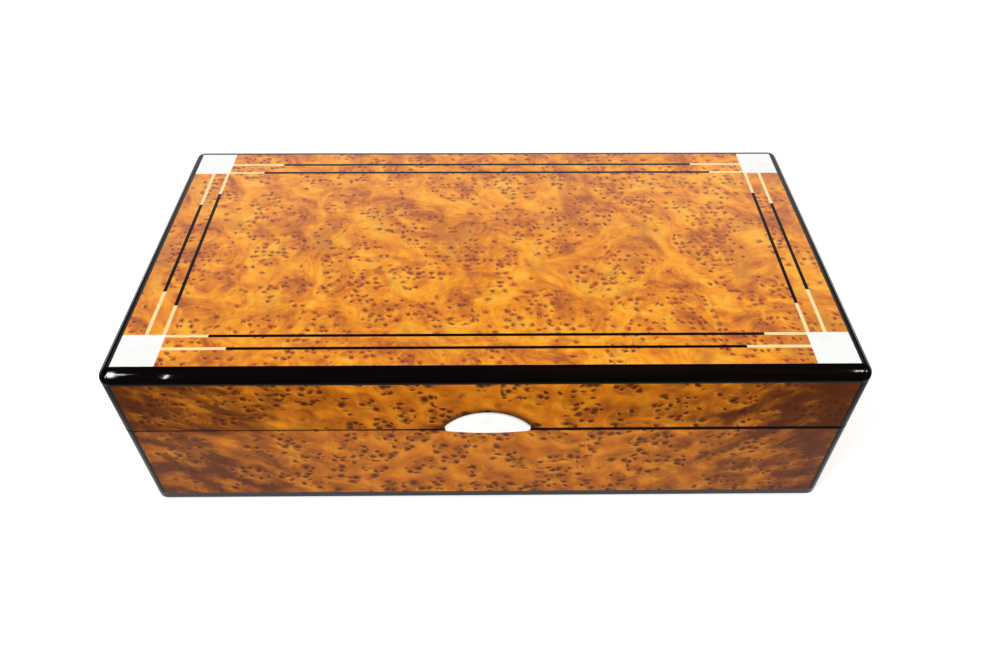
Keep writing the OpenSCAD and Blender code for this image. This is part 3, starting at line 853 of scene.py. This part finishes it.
pin_y, pin_z = box_w / 2, (base_rim + lid_rim) / 2
leaf_w, leaf_face, stop_reach, stop_slope = 8.0, 0.2, 1.981, math.radians(48.0)
knuckle_r, pin_r, barrel_half, mid_half, end_inner = 2.0, 1.0, 10.0, 3.85, 4.0
knuckle_gap, knuckle_room = 0.15, 0.3
screw_r, head_r, screw_l, screw_tip, tip_r, slot_w = 1.1, 1.9, 8.0, 2.0, 0.25, 0.5
screw_at, screw_back, screw_room, sink_over = 9.0, 4.9, 0.02, 0.3


def at_pin(x, y, z, up):
    """A place measured from the middle of the right hinge's pin, z away from the lid's side."""
    return (hinge_at + x, pin_y + y, pin_z + up * z)


def pin_block(name, low, high, up):
    """A block between two corners that are measured from the pin."""
    a, b = at_pin(*low, up), at_pin(*high, up)
    return block(name, [min(p) for p in zip(a, b)], [max(p) for p in zip(a, b)])


def break_edges(piece, width, steps=2):
    """Takes the sharpness off every clear edge of a piece, with a narrow bevel."""
    fit(piece, "BEVEL", width=width * mm, segments=steps, limit_method="ANGLE",
        angle_limit=math.radians(40))


def leaf(name, up):
    """A hinge leaf: up is 1 for the lower one, and -1 for the upper one, which is its mirror."""
    back = leaf_face + leaf_t
    plate = pin_block(name, (-hinge_half, -leaf_w, -back), (hinge_half, stop_reach, -leaf_face), up)
    pick(plate, "FACE", lambda middle, normal: True)
    slope = (0, math.sin(stop_slope), math.cos(stop_slope) * up)
    foot = at_pin(0, leaf_face / math.tan(stop_slope), -leaf_face, up)
    bpy.ops.mesh.bisect(plane_co=Vector(foot) * mm, plane_no=slope, use_fill=True, clear_outer=True)
    close_up(0.001)
    outer = ((-barrel_half, -end_inner), (end_inner, barrel_half))
    inner = ((-mid_half, mid_half),)
    own, facing = (outer, inner) if up > 0 else (inner, outer)
    for a, b in own:
        cut(plate, rod("knuckle", knuckle_r, at_pin(a, 0, 0, up), at_pin(b, 0, 0, up), 64),
            operation="UNION")
    for a, b in facing:
        cut(plate, pin_block("room", (a - knuckle_gap, -knuckle_r - knuckle_room, -back - 1),
                             (b + knuckle_gap, stop_reach + 1, knuckle_r + 1), up))
    for end in (-1, 1):
        slit = end * (barrel_half + knuckle_gap / 2)
        cut(plate, pin_block("slit", (slit - knuckle_gap / 2, 0, -back - 1),
                             (slit + knuckle_gap / 2, stop_reach + 1, -leaf_face + 0.5), up),
            rod("way_in", pin_r + knuckle_room, at_pin(end * (barrel_half + touching), 0, 0, up),
                at_pin(end * (hinge_half + 1), 0, 0, up), 32))
        above = at_pin(end * screw_at, -screw_back, sink_over - leaf_face, up)
        deeper = at_pin(end * screw_at, -screw_back, screw_r - head_r - sink_over - leaf_face, up)
        through = at_pin(end * screw_at, -screw_back, -back - 1, up)
        hole_r, sink_r = screw_r + screw_room, head_r + screw_room
        cut(plate, rod("hole", hole_r, above, through, 32),
            rod("sink", hole_r - sink_over, deeper, above, 32, sink_r + sink_over))
    cut(plate, rod("bore", pin_r, at_pin(-barrel_half - 1, 0, 0, up),
                   at_pin(barrel_half + 1, 0, 0, up), 32))
    break_edges(plate, 0.08)
    smooth(plate, 35.0)
    return plate


def screw(name, up, turn):
    """A countersunk wood screw by the hinge's middle, its slot turned as it was left."""
    top = at_pin(0, -screw_back, -leaf_face, up)
    neck = at_pin(0, -screw_back, -leaf_face - head_r + screw_r, up)
    end = at_pin(0, -screw_back, -leaf_face - screw_l + screw_tip, up)
    tip = at_pin(0, -screw_back, -leaf_face - screw_l, up)
    made = rod(name, screw_r, end, neck, 32)
    cut(made, rod("head", screw_r, neck, top, 32, head_r), operation="UNION")
    cut(made, rod("point", screw_r, end, tip, 32, tip_r), operation="UNION")
    slot = block("slot", (-head_r - 1, -slot_w / 2, -slot_w), (head_r + 1, slot_w / 2, slot_w))
    slot.rotation_euler = (0, 0, turn)
    slot.location = Vector(top) * mm
    placed(slot, "slot")
    cut(made, slot)
    break_edges(made, 0.04)
    smooth(made, 35.0)
    return made


for level, body, up, turns in (("lower", "base", 1, (0.3, 1.2, 0.8, 2.4)),
                               ("upper", "lid", -1, (1.9, 0.5, 2.7, 1.4))):
    piece = leaf(f"right_{level}_brass_leaf", up)
    other = copied(piece, f"left_{level}_brass_leaf", 0, (-2 * hinge_at, 0, 0))
    hand_over(piece, brass, "brass", body, f"right_{level}_leaf")
    hand_over(other, brass, "brass", body, f"left_{level}_leaf")
    screws = []
    for turn, (hand, end) in zip(turns, ((-1, -1), (-1, 1), (1, -1), (1, 1))):
        made = screw("screw", up, turn)
        screws.append(copied(made, "screw", 0, ((hand - 1) * hinge_at + end * screw_at, 0, 0)))
        bpy.data.objects.remove(made)
    deselect()
    for made in screws:
        made.select_set(True)
    bpy.context.view_layer.objects.active = screws[0]
    bpy.ops.object.join()
    made = placed(screws[0], f"{body}_brass_screws")
    hand_over(made, brass, "brass", body, f"{body}_hinge_screws")

pin = rod("right_brass_pin", pin_r, at_pin(-barrel_half, 0, 0, 1), at_pin(barrel_half, 0, 0, 1))
break_edges(pin, 0.2, 3)
smooth(pin, 40.0)
other = copied(pin, "left_brass_pin", 0, (-2 * hinge_at, 0, 0))
hand_over(pin, brass, "brass", "base", "right_hinge_pin")
hand_over(other, brass, "brass", "base", "left_hinge_pin")


# ---- Felt ----
# Dark green wool felt, cut to size and glued down flat: one sheet lines the floor inside, and
# one covers the underside between the plinth strips, so that the box slides without a scratch.
felt_green = srgb(38, 70, 46)
felt_pale = srgb(84, 118, 84)
felt_t, floor_z = 1.2, 6.2
uneven, edge_sunk, edge_w = 0.05, 0.3, 1.5


def felt_finish(name):
    """Green felt with paler hairs and faint cloudy patches."""
    made, tree, finish = new_finish(name)
    place = in_mm(tree)
    hairs = noise(tree, bent(tree, place, 2.0, 0.8, 4.0), 0.5, 4.0, 0.7, 2.0)
    cloud = noise(tree, place, 18.0, 3.0, 0.6, 3.0)
    colour = blend_colour(tree, fade(tree, hairs, 0.42, 0.72, 0.0, 0.45), felt_green, felt_pale)
    colour = blend_colour(tree, fade(tree, cloud, 0.4, 0.7, 0.0, 0.2), colour, felt_pale)
    tree.links.new(colour, finish.inputs["Base Color"])
    finish.inputs["Roughness"].default_value = 1.0
    finish.inputs["Specular IOR Level"].default_value = 0.1
    finish.inputs["Sheen Weight"].default_value = 0.35
    finish.inputs["Sheen Roughness"].default_value = 0.6
    raise_up(tree, finish.inputs["Normal"], hairs, 0.5, 0.25)
    return made


def felt_sheet(name, half_x, half_y, low, rise):
    """A sheet of felt whose upper side, or lower one if rise is negative, is a little uneven."""
    deselect()
    near, far = (low, low + felt_t) if rise > 0 else (low + felt_t, low)
    bpy.ops.mesh.primitive_grid_add(x_subdivisions=90, y_subdivisions=44, size=2.0,
                                    location=(0, 0, far * mm))
    bpy.context.object.scale = (half_x * mm, half_y * mm, 1)
    made = placed(bpy.context.object, name)
    for vertex in made.data.vertices:
        x, y = vertex.co.x / mm, vertex.co.y / mm
        wave = math.sin(x / 11 + 2 * math.sin(y / 17)) * math.sin(y / 9 + 1.5 * math.sin(x / 23))
        edge = min(half_x - abs(x), half_y - abs(y))
        sunk = uneven + uneven * wave + edge_sunk * max(1 - edge / edge_w, 0) ** 2
        vertex.co.z -= rise * sunk * mm
    pick(made, "FACE", lambda middle, normal: True)
    bpy.ops.mesh.extrude_region_move(TRANSFORM_OT_translate={"value": (0, 0, (near - far) * mm)})
    bpy.ops.transform.resize(value=(1, 1, 0), center_override=(0, 0, near * mm))
    close_up(0.001)
    smooth(made, 50.0)
    return made


for name, look, node, half_x, half_y, low, rise in (
        ("felt_lining", "lining_felt", "floor_lining", 138.7, 66.7, floor_z, 1),
        ("felt_underside", "under_felt", "underside_felt", 141.7, 69.7, 0.0, -1)):
    felt = felt_sheet(name, half_x, half_y, low, rise)
    hand_over(felt, felt_finish(look), look, "base", node)
